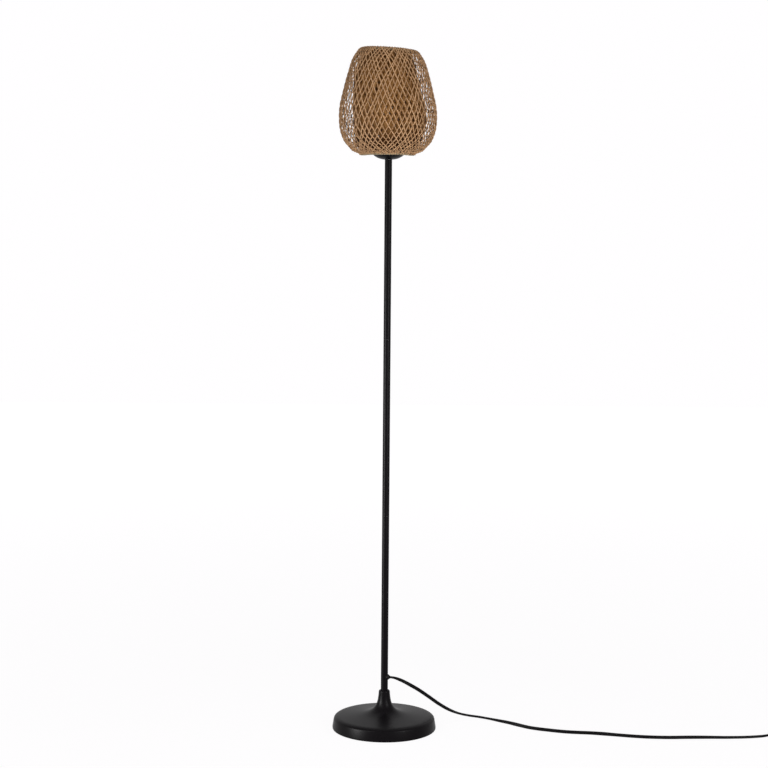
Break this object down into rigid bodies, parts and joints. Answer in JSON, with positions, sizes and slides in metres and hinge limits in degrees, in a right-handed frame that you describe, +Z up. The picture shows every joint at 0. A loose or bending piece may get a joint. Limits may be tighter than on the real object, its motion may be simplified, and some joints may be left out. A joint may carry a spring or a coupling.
{
  "type": "floor lamp",
  "caption": "Slim floor lamp with a woven rattan lantern shade over a smaller woven liner, a straight black pole, a heavy round trumpet base, and a flat flex with a foot switch and plug.",
  "frame": {"origin": "centre of the base's underside, on the floor", "axes": "+Z up along the pole, +X to the right of someone who faces the lamp, where its flex runs, and -Y towards them"},
  "size_m": [1.174, 0.231, 1.5],
  "materials": {
    "black_steel": "satin black powder coat",
    "iron_weight": "as cast",
    "zinc_steel": "zinc plated",
    "brass": "bright",
    "rattan": "natural split rattan, matt",
    "black_plastic": "fine matt",
    "flex_sheath": "smooth matt",
    "ceramic": "pale ceramic",
    "felt": "black felt",
    "opal_glass": "opal white"
  },
  "bodies": {
    "lamp": {"base_cover": "black_steel", "base_weight": "iron_weight", "base_pad": "felt", "foot_washer": "zinc_steel", "foot_nut": "zinc_steel", "foot_stud": "zinc_steel", "pole_lower": "black_steel", "pole_middle": "black_steel", "pole_upper": "black_steel", "pole_sleeve_1": "zinc_steel", "pole_sleeve_2": "zinc_steel", "top_nipple": "zinc_steel", "cord_bush": "black_plastic", "inner_flex": "flex_sheath", "bottom_hoop": "rattan", "top_hoop": "rattan", "outer_weave": "rattan", "inner_weave": "rattan", "shade_frame": "black_steel", "shade_cup": "black_steel", "holder_cap": "black_plastic", "holder_locknut": "zinc_steel", "holder_core": "ceramic", "holder_skirt": "black_plastic", "thread_shell": "brass", "centre_contact": "brass", "shade_ring_nut": "black_plastic", "switch_tray": "black_plastic", "switch_cover": "black_plastic", "switch_contacts": "ceramic", "switch_spring": "zinc_steel", "switch_boot_in": "black_plastic", "switch_boot_out": "black_plastic", "flex_to_switch": "flex_sheath", "flex_from_switch": "flex_sheath", "flex_coil": "flex_sheath", "flex_tie": "black_plastic", "flex_to_plug": "flex_sheath", "plug_body": "black_plastic", "plug_pin_front": "zinc_steel", "plug_pin_back": "zinc_steel"},
    "bulb": {"bulb_cap": "zinc_steel", "bulb_glass": "opal_glass"},
    "button": {"switch_button": "black_plastic"}
  },
  "joints": [
    {"name": "bulb_lift", "type": "slide", "parent": "lamp", "child": "bulb", "axis": [0, 0, 1], "range_m": [0, 0.215]},
    {"name": "button_press", "type": "slide", "parent": "lamp", "child": "button", "axis": [0, 0, -1], "range_m": [0, 0.003], "stiffness_N_per_m": 800, "deforming": ["switch_spring"]}
  ]
}
